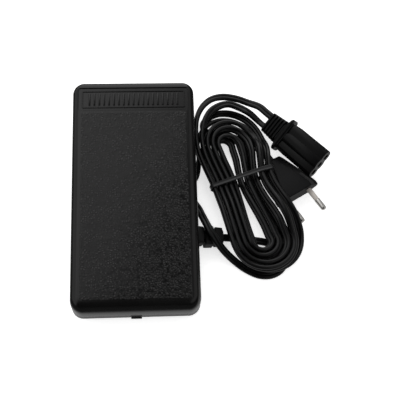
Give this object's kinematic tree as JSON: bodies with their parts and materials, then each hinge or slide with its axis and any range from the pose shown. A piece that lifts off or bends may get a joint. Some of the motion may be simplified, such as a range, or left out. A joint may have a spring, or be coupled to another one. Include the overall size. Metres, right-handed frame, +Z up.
{
  "type": "sewing machine foot pedal",
  "caption": "Sewing machine foot pedal: sprung wedge-shaped treadle hinged over a base tray, with a flat cord wound in a tied hank, a machine connector and a mains plug.",
  "frame": {"origin": "middle of the pedal's footprint, on the surface that its rubber feet stand on", "axes": "+X across the pedal towards its cord, +Y along the pedal from heel to toe, +Z up"},
  "size_m": [0.1797, 0.1671, 0.0405],
  "materials": {
    "treadle_plastic": "satin, grained",
    "base_plastic": "satin",
    "foot_rubber": "matt",
    "rod_steel": "bright",
    "cover_plastic": "satin",
    "screw_steel": "zinc plated",
    "spring_steel": "bright wire",
    "carrier_plastic": "satin",
    "contact_brass": "bright",
    "board_laminate": "paper laminate",
    "sink_aluminium": "mill finish",
    "case_plastic": "satin",
    "capacitor_plastic": "dipped",
    "core_iron": "coated iron powder",
    "winding_wire": "enamelled copper",
    "resistor_ceramic": "coated",
    "trimmer_plastic": "moulded",
    "block_plastic": "moulded",
    "cord_pvc": "glossy PVC sheath",
    "boot_rubber": "satin",
    "tie_plastic": "glossy strip",
    "connector_plastic": "satin PVC",
    "plug_plastic": "satin PVC",
    "pin_nickel": "nickel plated",
    "sleeve_plastic": "insulating sleeve"
  },
  "bodies": {
    "base": {"base_tray": "base_plastic", "rubber_feet": "foot_rubber", "hinge_rod": "rod_steel", "inner_cover": "cover_plastic", "cover_screws": "screw_steel", "stop_buffers": "foot_rubber", "treadle_springs": "spring_steel", "wiper_spring": "spring_steel", "resistor_board": "board_laminate", "circuit_board": "board_laminate", "board_screws": "screw_steel", "heat_sink": "sink_aluminium", "triac": "case_plastic", "film_capacitor": "capacitor_plastic", "timing_capacitor": "capacitor_plastic", "choke_core": "core_iron", "choke_winding": "winding_wire", "resistors": "resistor_ceramic", "trimmer": "trimmer_plastic", "terminal_block": "block_plastic", "terminal_screws": "screw_steel", "cord_clamp": "cover_plastic", "clamp_screws": "screw_steel", "cord_tail": "cord_pvc", "cord_boot": "boot_rubber", "lead_cord_from_pedal": "cord_pvc", "lead_cord_hank": "cord_pvc", "lead_cord_to_connector": "cord_pvc", "mains_cord_to_plug": "cord_pvc", "mains_cord_hank": "cord_pvc", "mains_cord_to_connector": "cord_pvc", "hank_tie": "tie_plastic", "connector_body": "connector_plastic", "connector_contacts": "contact_brass", "plug_body": "plug_plastic", "plug_pins": "pin_nickel", "pin_sleeves": "sleeve_plastic"},
    "treadle": {"treadle": "treadle_plastic"},
    "wiper": {"wiper_carrier": "carrier_plastic", "contact_fingers": "contact_brass"}
  },
  "joints": [
    {"name": "treadle_tilt", "type": "hinge", "parent": "base", "child": "treadle", "pos_m": [0, -0.066, 0.012], "axis": [-1, 0, 0], "range_deg": [0, 6], "stiffness_Nm_per_rad": 31, "springref_deg": -1.72, "deforming": ["treadle_springs"]},
    {"name": "wiper_slide", "type": "slide", "parent": "base", "child": "wiper", "axis": [0, 0, -1], "range_m": [0, 0.00915], "stiffness_N_per_m": 60, "springref_m": -0.003, "deforming": ["wiper_spring"]}
  ],
  "couplings": [
    {"joint": "wiper_slide", "follows": "treadle_tilt", "m_per_rad": 0.087}
  ]
}
